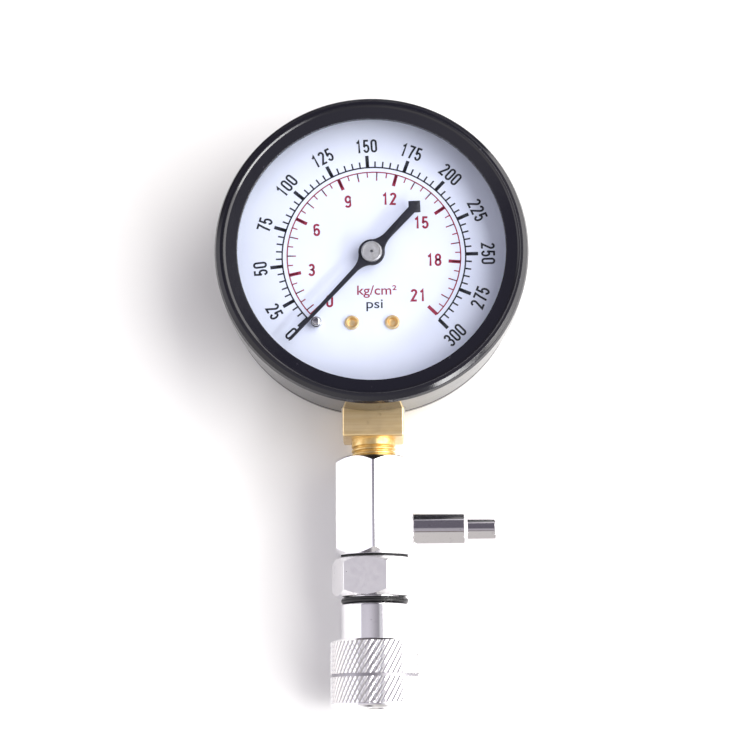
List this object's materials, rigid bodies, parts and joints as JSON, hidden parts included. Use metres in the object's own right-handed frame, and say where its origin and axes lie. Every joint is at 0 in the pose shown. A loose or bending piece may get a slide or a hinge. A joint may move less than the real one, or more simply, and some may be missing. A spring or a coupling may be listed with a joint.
{
  "type": "compression tester gauge",
  "caption": "Round pressure gauge on a brass stem with a hexagon body, a push-button pressure release and a knurled quick coupler for the tester's hose.",
  "frame": {"origin": "middle of the case's flat back", "axes": "+Z out of the dial, -Y along the stem towards the coupler's mouth, +X towards the pressure release button"},
  "size_m": [0.0714, 0.1383, 0.0288],
  "materials": {
    "case_enamel": "gloss",
    "clear_window": "polished",
    "black_rubber": "satin",
    "white_dial": "satin",
    "brass": "brushed",
    "nickel_plate": "polished",
    "steel": "satin",
    "pointer_black": "matte",
    "phosphor_bronze": "satin"
  },
  "bodies": {
    "gauge": {"case": "case_enamel", "bezel_ring": "case_enamel", "window_lens": "clear_window", "window_gasket": "black_rubber", "dial_plate": "white_dial", "dial_rivet_left": "brass", "dial_rivet_right": "brass", "dial_post_left": "brass", "dial_post_right": "brass", "zero_stop_pin": "nickel_plate", "socket": "brass", "case_screw_left": "steel", "case_screw_right": "steel", "movement_back_plate": "brass", "movement_front_plate": "brass", "movement_screw_left": "steel", "movement_screw_right": "steel", "pillar_1": "brass", "pillar_2": "brass", "pillar_3": "brass", "pillar_screw_1": "steel", "pillar_screw_2": "steel", "pillar_screw_3": "steel", "hairspring": "steel", "hairspring_stud": "brass", "bourdon_tube": "phosphor_bronze", "valve_body": "nickel_plate", "relief_housing": "nickel_plate", "relief_spring": "steel", "joint_gasket": "black_rubber", "coupler_body": "nickel_plate", "coupler_bumper": "black_rubber", "coupler_seal": "black_rubber", "sleeve_spring": "steel", "sleeve_snap_ring": "steel", "locking_ball_1": "steel", "locking_ball_2": "steel", "locking_ball_3": "steel", "locking_ball_4": "steel"},
    "sector": {"sector_gear": "brass", "sector_arbor": "steel", "link_pin_sector": "steel"},
    "pointer": {"pointer": "pointer_black", "pointer_hub": "nickel_plate", "pinion_arbor": "steel", "hairspring_collet": "brass"},
    "tube_tip": {"tube_tip": "brass", "link_pin_tip": "steel"},
    "link": {"link": "steel"},
    "button": {"relief_button": "nickel_plate", "relief_seal": "black_rubber"},
    "sleeve": {"coupler_sleeve": "nickel_plate"}
  },
  "joints": [
    {"name": "sector_turn", "type": "hinge", "parent": "gauge", "child": "sector", "pos_m": [0, -0.01452, 0.01], "axis": [0, 0, 1], "range_deg": [0, 27.19], "stiffness_Nm_per_rad": 0.004, "springref_deg": -1.72},
    {"name": "pointer_turn", "type": "hinge", "parent": "gauge", "child": "pointer", "pos_m": [0, 0, 0.02], "axis": [0, 0, -1], "range_deg": [0, 272], "deforming": ["hairspring"]},
    {"name": "tube_tip_slide", "type": "slide", "parent": "gauge", "child": "tube_tip", "axis": [0.5879, 0.8089, 0], "range_m": [0, 0.00337], "deforming": ["bourdon_tube"]},
    {"name": "link_turn", "type": "hinge", "parent": "tube_tip", "child": "link", "pos_m": [0.01024, -0.01473, 0.011], "axis": [0, 0, 1], "range_deg": [0, 4.1]},
    {"name": "button_press", "type": "slide", "parent": "gauge", "child": "button", "axis": [-1, 0, 0], "range_m": [0, 0.0022], "stiffness_N_per_m": 300, "springref_m": -0.003, "deforming": ["relief_spring"]},
    {"name": "sleeve_draw", "type": "slide", "parent": "gauge", "child": "sleeve", "axis": [0, 1, 0], "range_m": [0, 0.0038], "stiffness_N_per_m": 600, "springref_m": -0.004, "deforming": ["sleeve_spring"]}
  ],
  "couplings": [
    {"joint": "pointer_turn", "follows": "sector_turn", "ratio": 10},
    {"joint": "tube_tip_slide", "follows": "sector_turn", "m_per_rad": 0.0070822},
    {"joint": "link_turn", "follows": "sector_turn", "ratio": 0.15}
  ]
}
